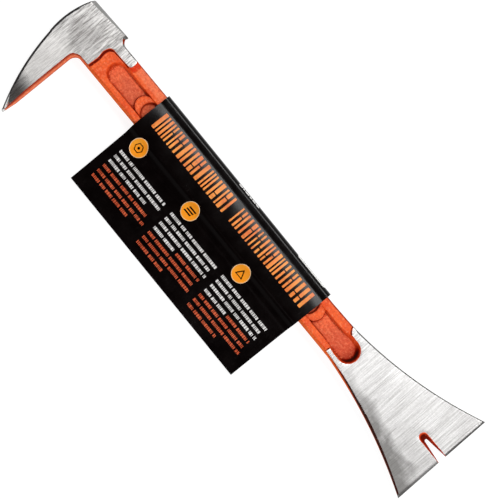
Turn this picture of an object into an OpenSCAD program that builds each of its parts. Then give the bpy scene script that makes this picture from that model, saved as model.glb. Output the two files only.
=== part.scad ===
// One-piece forged utility pry bar with a folded card sleeve.
// Frame: X runs along the shank from the head to the claw, +Y is the striking face's
// side, -Y is the pick's side, +Z is the front. The bar lies on its back at Z = 0.
// The origin is where the poll's centre line meets the shank's long axis, at Z = 0.
// The forging is symmetrical about its parting plane, at half the head's thickness.

/* [Forging] */
// Thickness of the ground head
head_thick = 14; // [13.6:0.2:16]
// Thickness across the painted flange lands of the shank
land_thick = 12; // [11:0.2:12.4]
// Depth of the web pockets below the lands
pocket_depth = 3.8; // [2:0.1:4.5]
// Distance from the origin to the claw's cutting edge
edge_x = 282.6; // [270:0.5:290]
// Thickness of the claw at its cutting edge
edge_thick = 0.8; // [0.5:0.1:1.5]

/* [Head] */
// Radius of the head's outer (-X) curve above the pick
head_radius = 49.4; // [48:0.2:52]
// Radius of the pick's long outer (-X) curve
pick_radius = 131.6; // [128:0.5:140]
// Reach of the pick's tip below the shank's axis
pick_reach = 58.2; // [54:0.5:62]
// Distance of the pick's inner edge from the poll's centre line
pick_inner_x = 1.9; // [1:0.1:3]
// Radius of the inside corner between pick and shank
pick_fillet = 4; // [2:0.5:6]
// Height of the striking face above the shank's axis
poll_y = 15.5; // [14.5:0.1:17]
// Half the length of the striking face
poll_half = 12.6; // [11.5:0.1:12.6]
// Bevel round the striking face, across the thickness
poll_bevel = 1.6; // [0.5:0.1:3]

/* [Claw] */
// Distance from the origin to the start of the ground blade
blade_x = 200.7; // [198:0.5:205]
// Radius of the blade's flare on the striking-face side
poll_flare_radius = 245.05; // [244:0.05:248]
// Radius of the blade's flare on the pick side
pick_flare_radius = 281.7; // [280:0.1:284]
// Length of the steeper ground edge
grind_length = 1.6; // [1:0.1:3]
// Distance from the origin to the end of the nail slot
slot_x = 268.7; // [262:0.1:272]
// Width of the nail slot at its inner end
slot_inner_width = 1.6; // [1:0.1:3]
// Width of the nail slot at its mouth
slot_mouth_width = 4.7; // [3.5:0.1:6]
// Width of the countersunk groove round the nail slot
groove_width = 5; // [4.8:0.1:7]

/* [Web pocket] */
// Half width of the pocket at its head end
pocket_head_radius = 5.8; // [4:0.1:6]
// Half width of the pocket at its claw end
pocket_claw_radius = 5.2; // [4:0.1:5.5]
// Start of the pocket
pocket_start_x = 17.7; // [16:0.1:20]
// End of the pocket
pocket_end_x = 214.5; // [205:0.5:216]
// Start of the raised frame in the pocket
frame_start_x = 40; // [35:0.5:45]
// End of the raised frame in the pocket
frame_end_x = 186.6; // [180:0.5:190]
// Width of the raised frame at its ends
frame_width = 5.1; // [3:0.1:8]
// Depth of the raised frame below the lands
frame_depth = 0.9; // [0.4:0.1:2]

/* [Card sleeve] */
// Thickness of the card
card_thick = 0.45; // [0.3:0.05:0.5]
// Length of the sleeve along the bar
sleeve_length = 130.6; // [100:0.2:131]
// Distance from the origin to the sleeve's head-side end
sleeve_x = 49.4; // [48:0.2:55]
// Distance from the crease to the flap's free edge
flap_length = 35.4; // [20:0.2:36]
// Slope of the flap at rest, down towards the back
flap_slope = 10.5; // [0:0.5:11]
// Thickness of the glue between the flap's plies
glue_thick = 0.1; // [0.05:0.01:0.2]
// Margin of the glue inside the flap's edges
glue_margin = 3; // [1:0.5:6]
// Length of the barcode label
label_length = 21.4; // [15:0.2:24]
// Width of the barcode label
label_width = 9; // [6:0.5:9.4]
// Thickness of the barcode label
label_thick = 0.1; // [0.05:0.01:0.2]

/* [Hidden] */

mid_z = head_thick / 2;                 // parting plane
back_land_z = (head_thick - land_thick) / 2;
front_land_z = head_thick - back_land_z;
overlap = 0.01;                         // joins neighbouring outlines

// Head
pick_top_y = -13.7;                     // the head's upper part meets the pick
face_tilt = 0.35;                       // rise of the striking face to each side of its middle
shank_pick_y = -10.35;                  // the shank's edges at the head
shank_poll_y = 11.65;
neck_radius = 3.6;
neck_x = 15.8;                          // claw side of the neck under the striking face
bevel_length = 2.2;                     // bevel's height, down from poll_y
thin_y = -36;                           // the pick thins from here to its tip
thin_length = 23;
thin_depth = 5.6;
thin_steps = 6;

// Claw
grind_x = edge_x - grind_length;
grind_half = 0.9;                       // half the blade's thickness where the grind starts
slot_y = 0.35;
groove_x = 266.95;
groove_depth = 1.7;
groove_floor_half = 0.7;

// Web pocket
pocket_head_y = -0.7;
pocket_claw_y = -1.5;
frame_radius = 5.9;
frame_claw_y = -1.4;
opening_radius = 6.7;
opening_depth = 0.8;
opening_y = -1.4;

// Card sleeve
card_color = [0.07, 0.07, 0.07];
card_gap = 0.12;                        // clearance between card and lands
sleeve_turn = -0.82;                    // follows the shank's striking-face edge, degrees
crease_y = -17.3;                       // crease line in the sleeve's own frame
crease_z = 7.6;
lip_y = crease_y + 0.1;
lip_rise = 0.42;                        // each lip's distance from the crease's height
side_y = 12.98;                         // card's middle beside the striking-face flange
flap_start = 0.6;                       // flap's near edge, from the crease
label_x = 105;
label_z = 2.2;

// ---------------------------------------------------------------- forging, plan view
// Outline of the head above the pick, [x, y]; its -X side is cut by the circle
module head_upper() {
    intersection() {
        translate([32.7, -3.55]) circle(r = head_radius, $fn = 360);
        polygon([
            [-25, pick_top_y], [-25, 12.45], [-14.5, 12.45],
            [-poll_half, poll_y - face_tilt], [poll_half, poll_y + face_tilt],
            [poll_half + 0.3, poll_y - 0.2], [12.3, 14.6], [12.3, 11], [16, 11], [16, 5.8],
            [13, 5.8], [11.6, 5], [11.1, 3.6], [11.1, -9.2], [10, shank_pick_y],
            [pick_inner_x, shank_pick_y], [pick_inner_x, pick_top_y]]);
    }
}

module pick() {
    intersection() {
        translate([114.45, 7.11]) circle(r = pick_radius, $fn = 720);
        polygon([
            [-25, pick_top_y + overlap], [pick_inner_x, pick_top_y + overlap],
            [pick_inner_x, -50], [pick_inner_x - 0.75, -pick_reach], [-25, -pick_reach]]);
    }
}

// What a circle leaves of a rectangle in an inside corner
module fillet(corner, size, centre, radius) {
    difference() {
        translate(corner) square(size);
        translate(centre) circle(r = radius, $fn = 96);
    }
}

module fillets() {
    // between pick and shank
    fillet([pick_inner_x - overlap, shank_pick_y - overlap - pick_fillet],
        [pick_fillet + overlap, pick_fillet + 2 * overlap],
        [pick_inner_x + pick_fillet, shank_pick_y - pick_fillet], pick_fillet);
    // neck under the striking face
    fillet([neck_x - neck_radius, 11], [neck_radius, 4.2],
        [neck_x, shank_poll_y + neck_radius], neck_radius);
}

module shank() {
    polygon([
        [0, shank_pick_y], [48, -10.55], [blade_x, -10.85], [blade_x, 9.25],
        [185, 8.9], [49, 11.58], [neck_x, shank_poll_y], [0, shank_poll_y]]);
}

// Slightly skewed cutting edge, with a large circle cutting the flare on each side
module blade() {
    difference() {
        polygon([[190, -32], [190, 32], [edge_x - 0.7, 32], [edge_x, -32]]);
        translate([182, 8.55 + poll_flare_radius]) circle(r = poll_flare_radius, $fn = 1440);
        translate([178.6, -9.83 - pick_flare_radius]) circle(r = pick_flare_radius, $fn = 1440);
    }
}

// ---------------------------------------------------------------- forging, solid
// The blade tapers evenly to its edge, with a steeper grind at the very end
module blade_profile() {
    rotate([90, 0, 0]) linear_extrude(height = 140, center = true) polygon([
        [blade_x, 0], [grind_x, mid_z - grind_half], [edge_x + 1, mid_z - edge_thick / 2],
        [edge_x + 1, mid_z + edge_thick / 2], [grind_x, mid_z + grind_half],
        [blade_x, head_thick]]);
}

function thin_point_y(step) = thin_y - thin_length * step / thin_steps;
function thinning(step) = thin_depth * pow(step / thin_steps, 2);

// The pick thins towards its tip, the poll is bevelled round its striking face
module head_profile() {
    rotate([90, 0, 90]) translate([0, 0, -30]) linear_extrude(height = 60) polygon(concat(
        [[poll_y + 1, poll_bevel], [poll_y + 1, head_thick - poll_bevel],
            [poll_y - bevel_length, head_thick]],
        [for (i = [0:thin_steps]) [thin_point_y(i), head_thick - thinning(i)]],
        [for (i = [thin_steps:-1:0]) [thin_point_y(i), thinning(i)]],
        [[poll_y - bevel_length, 0]]));
}

module head() {
    intersection() {
        linear_extrude(height = head_thick) union() {
            head_upper();
            pick();
            fillets();
        }
        head_profile();
    }
}

// A ground tongue runs from the head along the +Y flange and ramps down to the land
module tongue() {
    rotate([90, 0, 0]) translate([0, 0, -11.4]) linear_extrude(height = 5.2) polygon([
        [11, 0], [26.2, 0], [29.9, back_land_z],
        [29.9, front_land_z], [26.2, head_thick], [11, head_thick]]);
}

// Cutter for the front pocket
module web_pocket() {
    head_x = pocket_start_x + pocket_head_radius;
    claw_x = pocket_end_x - pocket_claw_radius - 1.4;
    opening_x = pocket_end_x - opening_radius;
    cut = 20;
    opening_cut = 10;
    translate([0, 0, front_land_z - pocket_depth]) difference() {
        union() {
            translate([head_x, pocket_head_y, 0])
                cylinder(r = pocket_head_radius, h = cut, $fn = 96);
            translate([claw_x, pocket_claw_y, 0])
                cylinder(r = pocket_claw_radius, h = cut, $fn = 96);
            linear_extrude(height = cut) polygon([
                [head_x, pocket_head_y - pocket_head_radius],
                [claw_x, pocket_claw_y - pocket_claw_radius],
                [claw_x, pocket_claw_y + pocket_claw_radius],
                [head_x, pocket_head_y + pocket_head_radius]]);
        }
        raised_frame();
    }
    // the pocket opens out where it runs into the ground blade
    translate([0, 0, front_land_z - opening_depth]) {
        translate([opening_x, opening_y, 0])
            cylinder(r = opening_radius, h = opening_cut, $fn = 96);
        translate([blade_x, opening_y - opening_radius, 0])
            cube([opening_x - blade_x, 2 * opening_radius, opening_cut]);
    }
}

// Slab with rounded ends, set in from the frame's ends; y and width place its middle
module frame_slab(inset, y, width, z, height) {
    start_x = frame_start_x + inset + frame_radius;
    end_x = frame_end_x - inset - frame_radius;
    translate([start_x, pocket_head_y, z]) cylinder(r = frame_radius, h = height, $fn = 96);
    translate([end_x, frame_claw_y, z]) cylinder(r = frame_radius, h = height, $fn = 96);
    translate([start_x, y, z]) cube([end_x - start_x, width, height]);
}

// Two crescent bands cross the pocket: the ends of a long frame pressed into the web
module raised_frame() {
    rise = pocket_depth - frame_depth;
    difference() {
        frame_slab(inset = 0, y = -9, width = 16, z = -1, height = rise + 1);
        frame_slab(inset = frame_width, y = -10, width = 18, z = -2, height = rise + 4);
    }
}

module nail_slot() {
    inner_half = slot_inner_width / 2;
    mouth_half = slot_mouth_width / 2;
    start_x = slot_x + inner_half;
    mouth_x = edge_x - 0.3;
    cut = head_thick + 2;
    translate([start_x, slot_y, -1]) cylinder(r = inner_half, h = cut, $fn = 48);
    translate([0, 0, -1]) linear_extrude(height = cut) polygon([
        [start_x, slot_y - inner_half], [mouth_x, slot_y - mouth_half],
        [edge_x + 2, slot_y - mouth_half], [edge_x + 2, slot_y + mouth_half],
        [mouth_x, slot_y + mouth_half], [start_x, slot_y + inner_half]]);
    for (side = [0, 1]) translate([0, 0, mid_z]) mirror([0, 0, side]) groove();
}

// Countersunk groove that follows the blade's face, for a nail's head;
// Z is measured from the parting plane
module groove() {
    half = groove_width / 2;
    taper = atan((mid_z - grind_half) / (grind_x - blade_x));
    face_z = mid_z - (groove_x - blade_x) * tan(taper);
    translate([groove_x, slot_y, face_z]) rotate([0, taper, 0]) {
        translate([0, 0, -groove_depth])
            cylinder(r1 = groove_floor_half, r2 = half, h = groove_depth, $fn = 96);
        cylinder(r = half, h = 2, $fn = 96);
        rotate([90, 0, 90]) linear_extrude(height = 20) polygon([
            [-half, 2], [-half, 0], [-groove_floor_half, -groove_depth],
            [groove_floor_half, -groove_depth], [half, 0], [half, 2]]);
    }
}

module forged_bar() {
    color([0.93, 0.36, 0.16]) difference() {
        union() {
            head();
            tongue();
            translate([0, 0, back_land_z]) linear_extrude(height = land_thick) shank();
            intersection() {
                linear_extrude(height = head_thick) blade();
                blade_profile();
            }
        }
        web_pocket();
        translate([0, 0, head_thick]) mirror([0, 0, 1]) web_pocket();
        nail_slot();
    }
}

// ---------------------------------------------------------------- card sleeve
// Unit normal to the left of the way from start to end
function normal(start, end) = let (step = end - start) [-step[1], step[0]] / norm(step);

// Point i of a path moved sideways along its mitre
function mitred(path, i, distance) = let (
    last = len(path) - 1,
    before = i > 0 ? normal(path[i - 1], path[i]) : normal(path[0], path[1]),
    after = i < last ? normal(path[i], path[i + 1]) : normal(path[last - 1], path[last]))
    path[i] + (before + after) * distance / (1 + before * after);

// A ribbon of even thickness along an open path, with mitred corners
function ribbon(path, thick) = concat(
    [for (i = [0:len(path) - 1]) mitred(path, i, thick / 2)],
    [for (i = [len(path) - 1:-1:0]) mitred(path, i, -thick / 2)]);

front_z = front_land_z + card_gap + card_thick;     // one card and its gap above the lands
back_z = back_land_z - card_gap - card_thick / 2;   // card's middle under the back lands

// The card's middle line, [y, z] in the sleeve's own frame
wrap_path = [
    // front lip
    [lip_y, crease_z + lip_rise], [-14.3, 9.7], [-12.1, 12.2],
    // over the front
    [-11, front_z - 0.4], [-8.8, front_z - 0.13], [2, front_z + 0.1],
    [7.4, front_z + 0.8], [10.9, front_z + 0.55],
    // round the +Y side
    [12.55, 13.25], [side_y, 11.6], [side_y, 1.6],
    // along the back
    [12.3, back_z], [-10.3, back_z], [-11.4, back_z + 0.7],
    // back lip
    [-12.9, 4.2], [-14.6, 6.2], [lip_y, crease_z - lip_rise]];

// Sleeve's own frame: X along the card's length from its head-side end
module in_sleeve() {
    rotate([0, 0, sleeve_turn]) translate([sleeve_x, 0, 0]) children();
}

// Flap's own frame: the flap runs along -Y from the crease, Z across the plies
module in_flap() {
    in_sleeve() translate([0, crease_y, crease_z]) rotate([flap_slope, 0, 0]) children();
}

module sleeve_wrap() {
    color(card_color) in_sleeve() rotate([90, 0, 90])
        linear_extrude(height = sleeve_length) polygon(ribbon(wrap_path, card_thick));
}

// Two plies, one on each side of the glue
module sleeve_flap() {
    color(card_color) in_flap()
        for (z = [glue_thick / 2, -glue_thick / 2 - card_thick])
            translate([0, -flap_length, z])
                cube([sleeve_length, flap_length - flap_start, card_thick]);
}

module flap_adhesive() {
    color([0.85, 0.82, 0.7]) in_flap()
        translate([glue_margin, -flap_length + glue_margin, -glue_thick / 2])
            cube([sleeve_length - 2 * glue_margin,
                flap_length - flap_start - 2 * glue_margin, glue_thick]);
}

module barcode_label() {
    color([0.95, 0.95, 0.95]) in_sleeve()
        translate([label_x, side_y + card_thick / 2, label_z])
            cube([label_length, label_thick, label_width]);
}

forged_bar();
sleeve_wrap();
sleeve_flap();
flap_adhesive();
barcode_label();
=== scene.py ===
"""Forged utility pry bar in a folded card sleeve.

The geometry is in millimetres: X runs along the shank from head to claw, +Y is the striking
face's side with the pick towards -Y, and +Z is the front. The bar's middle plane is z = 7.
Lengths become metres when a mesh is made; materials, lights and camera are in metres.
"""
import math
import bpy
import numpy as np
from mathutils import Vector, Matrix, kdtree
from mathutils.geometry import delaunay_2d_cdt


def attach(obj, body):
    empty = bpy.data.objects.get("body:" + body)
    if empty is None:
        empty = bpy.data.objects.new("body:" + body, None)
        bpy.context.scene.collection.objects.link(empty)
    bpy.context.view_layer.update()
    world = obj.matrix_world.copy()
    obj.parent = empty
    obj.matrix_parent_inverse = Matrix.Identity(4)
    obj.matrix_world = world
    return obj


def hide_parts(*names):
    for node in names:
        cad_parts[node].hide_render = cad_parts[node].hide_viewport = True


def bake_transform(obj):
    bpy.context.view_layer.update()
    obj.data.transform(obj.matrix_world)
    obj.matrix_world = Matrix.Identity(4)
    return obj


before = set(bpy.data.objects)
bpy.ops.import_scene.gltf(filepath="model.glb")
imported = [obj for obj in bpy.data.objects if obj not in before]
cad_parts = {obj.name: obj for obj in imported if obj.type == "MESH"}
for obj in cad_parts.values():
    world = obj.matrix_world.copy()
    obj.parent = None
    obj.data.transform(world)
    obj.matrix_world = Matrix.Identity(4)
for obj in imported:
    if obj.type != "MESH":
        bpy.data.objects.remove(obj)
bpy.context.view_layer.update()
MM = 0.001

# ------------------------------------------------------------------ lines in the plane


def divided(start, end, count):
    """`count` even points from start towards end, the end left out."""
    start, end = np.array(start, float), np.array(end, float)
    return [tuple(start + (end - start) * i / count) for i in range(count)]


def spaced(start, end, step):
    """Points at most `step` apart from start towards end, the end left out."""
    length = np.linalg.norm(np.array(end, float) - np.array(start, float))
    return divided(start, end, max(1, int(math.ceil(length / step))))


def path(corners, measures, split=spaced):
    """Points along straight legs, one step or count per leg, the last corner left out."""
    out = []
    for start, end, measure in zip(corners, corners[1:], measures):
        out += split(start, end, measure)
    return out


def arc(centre, radius, start, end, count, radius_y=None):
    """`count` points between two angles in degrees, the last left out."""
    radius_y = radius if radius_y is None else radius_y
    angles = [math.radians(start + (end - start) * i / count) for i in range(count)]
    return [(centre[0] + radius * math.cos(a), centre[1] + radius_y * math.sin(a))
            for a in angles]


def smooth_curve(points, step):
    """Open Catmull-Rom curve through the points, resampled evenly between each pair."""
    points = np.array(points, float)
    last = len(points) - 1
    out = []
    for i in range(last):
        before, start, end = points[max(i - 1, 0)], points[i], points[i + 1]
        after = points[min(i + 2, last)]
        count = max(2, int(math.ceil(np.linalg.norm(end - start) / step)))
        for k in range(count):
            t = k / count
            out.append(0.5 * (2 * start + (end - before) * t
                              + (2 * before - 5 * start + 4 * end - after) * t * t
                              + (3 * start - before - 3 * end + after) * t ** 3))
    return np.array(out + [points[-1]])


def normals(poly, closed):
    """Mitred left-hand normals: poly + d * normal is the parallel curve at distance d."""
    poly = np.array(poly, float)
    if closed:
        before, after = poly - np.roll(poly, 1, 0), np.roll(poly, -1, 0) - poly
    else:
        legs = poly[1:] - poly[:-1]
        before, after = np.vstack([legs[:1], legs]), np.vstack([legs, legs[-1:]])
    before = before / np.maximum(np.linalg.norm(before, axis=1, keepdims=True), 1e-9)
    after = after / np.maximum(np.linalg.norm(after, axis=1, keepdims=True), 1e-9)
    before = np.c_[-before[:, 1], before[:, 0]]
    after = np.c_[-after[:, 1], after[:, 0]]
    mitre = 1 + np.sum(before * after, axis=1, keepdims=True)
    return (before + after) / np.maximum(mitre, 0.35)


def dist(points, poly, closed=False):
    """Distance from each point to a polyline, worked in batches to save memory."""
    points, poly = np.asarray(points, float), np.asarray(poly, float)
    start, end = (poly, np.roll(poly, -1, 0)) if closed else (poly[:-1], poly[1:])
    leg = end - start
    length_sq = np.maximum(np.sum(leg * leg, axis=1), 1e-12)
    best = np.full(len(points), 1e9)
    batch = max(1, int(4e6 // max(len(start), 1)))
    for i in range(0, len(points), batch):
        dx = points[i:i + batch, None, 0] - start[None, :, 0]
        dy = points[i:i + batch, None, 1] - start[None, :, 1]
        t = np.clip((dx * leg[:, 0] + dy * leg[:, 1]) / length_sq, 0, 1)
        dx = dx - t * leg[:, 0]
        dy = dy - t * leg[:, 1]
        best[i:i + batch] = np.sqrt(np.min(dx * dx + dy * dy, axis=1))
    return best


def inside(points, poly):
    """Which points lie in a closed polygon, by counting crossings."""
    points, start = np.asarray(points, float), np.asarray(poly, float)
    end = np.roll(start, -1, 0)
    out = np.zeros(len(points), bool)
    batch = max(1, int(6e6 // len(start)))
    for i in range(0, len(points), batch):
        x, y = points[i:i + batch, 0][:, None], points[i:i + batch, 1][:, None]
        spans = (start[None, :, 1] > y) != (end[None, :, 1] > y)
        with np.errstate(divide="ignore", invalid="ignore"):
            cross_x = (start[None, :, 0] + (y - start[None, :, 1])
                       * (end[None, :, 0] - start[None, :, 0])
                       / (end[None, :, 1] - start[None, :, 1]))
        out[i:i + batch] = (np.sum(spans & (x < cross_x), axis=1) % 2) == 1
    return out


def within(value, low, high):
    return (value > low) & (value < high)


def ease(t):
    t = np.clip(t, 0, 1)
    return t * t * (3 - 2 * t)


LATTICE = np.random.RandomState(71).rand(64, 64) * 2 - 1


def noise(x, y, scale, shift=0.0):
    """Smooth value noise, one feature per `scale` millimetres, about -1 to 1."""
    x, y = x / scale + 11.3 + shift, y / scale + 7.1 - 2.7 * shift
    i, j = np.floor(x).astype(int), np.floor(y).astype(int)
    part_x, part_y = ease(x - i), ease(y - j)

    def corner(a, b):
        return LATTICE[a % 64, b % 64]

    return (corner(i, j) * (1 - part_x) * (1 - part_y)
            + corner(i + 1, j) * part_x * (1 - part_y)
            + corner(i, j + 1) * (1 - part_x) * part_y
            + corner(i + 1, j + 1) * part_x * part_y)


# ------------------------------------------------------------------ triangulation and meshes


class Plan:
    """Points and constraint lines for a constrained triangulation in the plane."""

    def __init__(self):
        self.points, self.edges = [], []

    def line(self, poly, closed=False):
        first = len(self.points)
        self.points += [tuple(map(float, point)) for point in poly]
        last = len(self.points) - 1
        self.edges += [(i, i + 1) for i in range(first, last)]
        if closed:
            self.edges.append((last, first))

    def straight(self, start, end, step):
        self.line(spaced(start, end, step) + [end])

    def kept_runs(self, poly, keep):
        """Add the unbroken stretches of a polyline where `keep` is true."""
        run = []
        for point, good in zip(list(poly) + [None], list(keep) + [False]):
            if good:
                run.append(point)
            else:
                if len(run) > 1:
                    self.line(run)
                run = []

    def fill(self, points, clear):
        """Add loose points that are at least `clear` from everything so far."""
        tree = kdtree.KDTree(len(self.points))
        for i, point in enumerate(self.points):
            tree.insert((*point, 0), i)
        tree.balance()
        self.points += [(float(x), float(y)) for x, y in points
                        if tree.find((x, y, 0))[2] > clear]

    def solve(self, outline, smallest=0.0):
        """Vertices and anticlockwise triangles inside the outline, slivers dropped.

        `smallest` is the least doubled area kept.
        """
        found = delaunay_2d_cdt([Vector(p) for p in self.points], self.edges, [], 0, 1e-4, False)
        verts = np.array([(v.x, v.y) for v in found[0]])
        tris = np.array([face for face in found[2] if len(face) == 3], int)
        tris = tris[inside(verts[tris].mean(axis=1), outline)]
        start = verts[tris[:, 0]]
        leg_a, leg_b = verts[tris[:, 1]] - start, verts[tris[:, 2]] - start
        area = leg_a[:, 0] * leg_b[:, 1] - leg_a[:, 1] * leg_b[:, 0]
        tris = np.where((area > 0)[:, None], tris, tris[:, ::-1])[np.abs(area) >= smallest]
        used, renumbered = np.unique(tris, return_inverse=True)
        return verts[used], renumbered.reshape(tris.shape)


def rim_edges(tris):
    """Directed edges used by one triangle only."""
    edges = np.vstack([tris[:, [0, 1]], tris[:, [1, 2]], tris[:, [2, 0]]])
    _, index, uses = np.unique(np.sort(edges, axis=1), axis=0,
                               return_index=True, return_counts=True)
    return edges[index[uses == 1]]


def hexgrid(x0, x1, y0, y1, pitch):
    out = []
    for k, y in enumerate(np.arange(y0, y1, pitch * 0.8660254)):
        xs = np.arange(x0 + (pitch / 2 if k % 2 else 0), x1, pitch)
        out.append(np.c_[xs, np.full(len(xs), y)])
    return np.vstack(out)


def make_mesh(name, verts, faces, materials, face_materials=None, smooth=True, sharp=None):
    """Object from millimetre vertices; edges bent past `sharp` degrees stay sharp."""
    mesh = bpy.data.meshes.new(name)
    mesh.from_pydata([tuple(v) for v in np.asarray(verts) * MM], [],
                     [tuple(int(i) for i in face) for face in faces])
    for material in materials:
        mesh.materials.append(material)
    if face_materials is not None:
        mesh.polygons.foreach_set("material_index", np.asarray(face_materials, dtype=np.int32))
    mesh.polygons.foreach_set("use_smooth", np.full(len(mesh.polygons), smooth))
    if sharp is not None:
        mesh.set_sharp_from_angle(angle=math.radians(sharp))
    mesh.update()
    obj = bpy.data.objects.new(name, mesh)
    bpy.context.scene.collection.objects.link(obj)
    return obj


def sheet_mesh(name, outer, inner, tris, materials, outer_slots, inner_slot, edge_slot, sharp):
    """Closed sheet from two matching layers of vertices."""
    count = len(outer)
    start, end = rim_edges(tris).T
    sides = np.vstack([np.c_[end, start, start + count], np.c_[end, start + count, end + count]])
    slots = np.concatenate([outer_slots, np.full(len(tris), inner_slot),
                            np.full(len(sides), edge_slot)])
    return make_mesh(name, np.vstack([outer, inner]),
                     np.vstack([tris, tris[:, ::-1] + count, sides]),
                     materials, slots, sharp=sharp)


# ------------------------------------------------------------------ shader node helpers


class Nodes:
    """Short calls for building a shader node tree."""

    def __init__(self, tree):
        self.tree = tree
        self.coords = self.add("TexCoord")

    def add(self, kind, inputs=None, **settings):
        node = self.tree.nodes.new("ShaderNode" + kind)
        for key, value in settings.items():
            setattr(node, key, value)
        for key, value in (inputs or {}).items():
            self.set(node.inputs[key], value)
        return node

    def set(self, socket, value):
        if isinstance(value, bpy.types.NodeSocket):
            self.tree.links.new(value, socket)
        elif isinstance(value, (tuple, list)) and len(value) == 3 and socket.type == "RGBA":
            socket.default_value = (*value, 1)
        else:
            socket.default_value = value

    def fade(self, value, over, to=(0, 1), clamp=True):
        """Map the span `over` of a value to the span `to`."""
        return self.add("MapRange", {0: value, 1: over[0], 2: over[1], 3: to[0], 4: to[1]},
                        clamp=clamp).outputs[0]

    def math(self, operation, a, b, clamp=False):
        return self.add("Math", {0: a, 1: b}, operation=operation, use_clamp=clamp).outputs[0]

    def plus(self, a, b):
        return self.math("ADD", a, b)

    def times(self, a, b, clamp=False):
        return self.math("MULTIPLY", a, b, clamp)

    def rest(self, value, clamp=True):
        """One minus the value."""
        return self.math("SUBTRACT", 1.0, value, clamp)

    def xyz(self, vector):
        return self.add("SeparateXYZ", {0: vector}).outputs


class Material(Nodes):
    """Principled material in object coordinates (metres)."""

    def __init__(self, name):
        self.material = bpy.data.materials.new(name)
        self.material.use_nodes = True
        tree = self.material.node_tree
        tree.nodes.clear()
        super().__init__(tree)
        self.shader = self.add("BsdfPrincipled")
        self.add("OutputMaterial", {0: self.shader.outputs[0]})

    def bsdf(self, **inputs):
        for key, value in inputs.items():
            self.set(self.shader.inputs[key.replace("_", " ")], value)

    def tint(self, amount, colour):
        """Mix a colour over the base colour set so far."""
        base = self.shader.inputs["Base Color"].links[0].from_socket
        self.bsdf(Base_Color=self.mix(amount, base, colour))

    def place(self):
        return self.xyz(self.coords.outputs["Object"])

    def mapped(self, scale, turn=0, loc=(0, 0, 0)):
        """Object coordinates scaled per metre, turned about Z in degrees and shifted."""
        scale = scale if isinstance(scale, tuple) else (scale,) * 3
        return self.add("Mapping", {
            "Vector": self.coords.outputs["Object"], "Scale": scale,
            "Rotation": (0, 0, math.radians(turn)), "Location": loc},
            vector_type="POINT").outputs[0]

    def noise(self, scale, detail=2, rough=0.5, distort=0.0, turn=0, loc=(0, 0, 0)):
        return self.add("TexNoise", {
            "Vector": self.mapped(scale, turn, loc), "Scale": 1.0, "Detail": detail,
            "Roughness": rough, "Distortion": distort}).outputs[0]

    def mix(self, amount, a, b):
        return self.add("Mix", {0: amount, 6: a, 7: b}, data_type="RGBA",
                        blend_type="MIX").outputs[2]

    def attr(self, name):
        return self.add("Attribute", attribute_name=name).outputs["Fac"]

    def bump(self, height, strength, distance):
        return self.add("Bump", {"Strength": strength, "Distance": distance,
                                 "Height": height}).outputs[0]


def srgb(*channels):
    """sRGB 0-255 to linear."""
    def linear(c):
        return (c / 255) / 12.92 if c / 255 <= 0.04045 else ((c / 255 + 0.055) / 1.055) ** 2.4
    return tuple(linear(c) for c in channels)


# ------------------------------------------------------------------ materials


def ground_steel(name, dark, light, streak, length, tilt, contrast, rough, cross=5):
    """Bare steel ground with a coarse belt: irregular parallel scratches across the bar.

    streak and length are a scratch's size in mm, tilt and cross its angles in degrees.
    """
    mat = Material(name)

    def scratches(wide, long, **look):
        return mat.noise((1000 / (streak * wide), 1000 / (length * long), 200), **look)

    main = scratches(1, 1, turn=tilt, detail=3, rough=0.55, distort=0.22)
    fine = scratches(0.4, 0.7, turn=tilt + cross, loc=(3.1, 1.7, 0),
                     detail=4, rough=0.6, distort=0.1)
    broad = scratches(2.6, 1.8, turn=tilt - 1 - cross, loc=(9.1, 4.7, 0), distort=0.3)
    both = mat.plus(mat.times(fine, 0.42), mat.times(broad, 0.16))
    grain = mat.plus(mat.times(main, 0.42), both)
    half = 0.16 / contrast
    tone = mat.fade(grain, over=(0.5 - half, 0.5 + half))
    # shares of scratches, blotches and grit in the colour
    blotch = mat.fade(mat.noise((90, 60, 60), detail=3), over=(0.3, 0.7))
    tone = mat.plus(mat.times(tone, 0.72), mat.times(blotch, 0.12))
    grit = mat.fade(mat.noise(1300, loc=(2, 8, 0), rough=0.6), over=(0.35, 0.65))
    tone = mat.plus(tone, mat.times(grit, 0.16))
    waver = mat.plus(main, mat.times(mat.noise(30), 0.3))
    mat.bsdf(Base_Color=mat.mix(tone, dark, light), Metallic=1.0,
             Roughness=mat.fade(waver, over=(0.4, 0.9), to=(rough + 0.08, rough - 0.08)),
             Normal=mat.bump(grain, strength=0.55, distance=0.00006))
    return mat


def ellipse(mat, from_x, from_y, half_x, half_y):
    """Squared distance from a centre in half-axes; the offsets from it come as sockets."""
    return mat.plus(mat.math("POWER", mat.math("DIVIDE", from_x, half_x), 2.0),
                    mat.math("POWER", mat.math("DIVIDE", from_y, half_y), 2.0))


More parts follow.
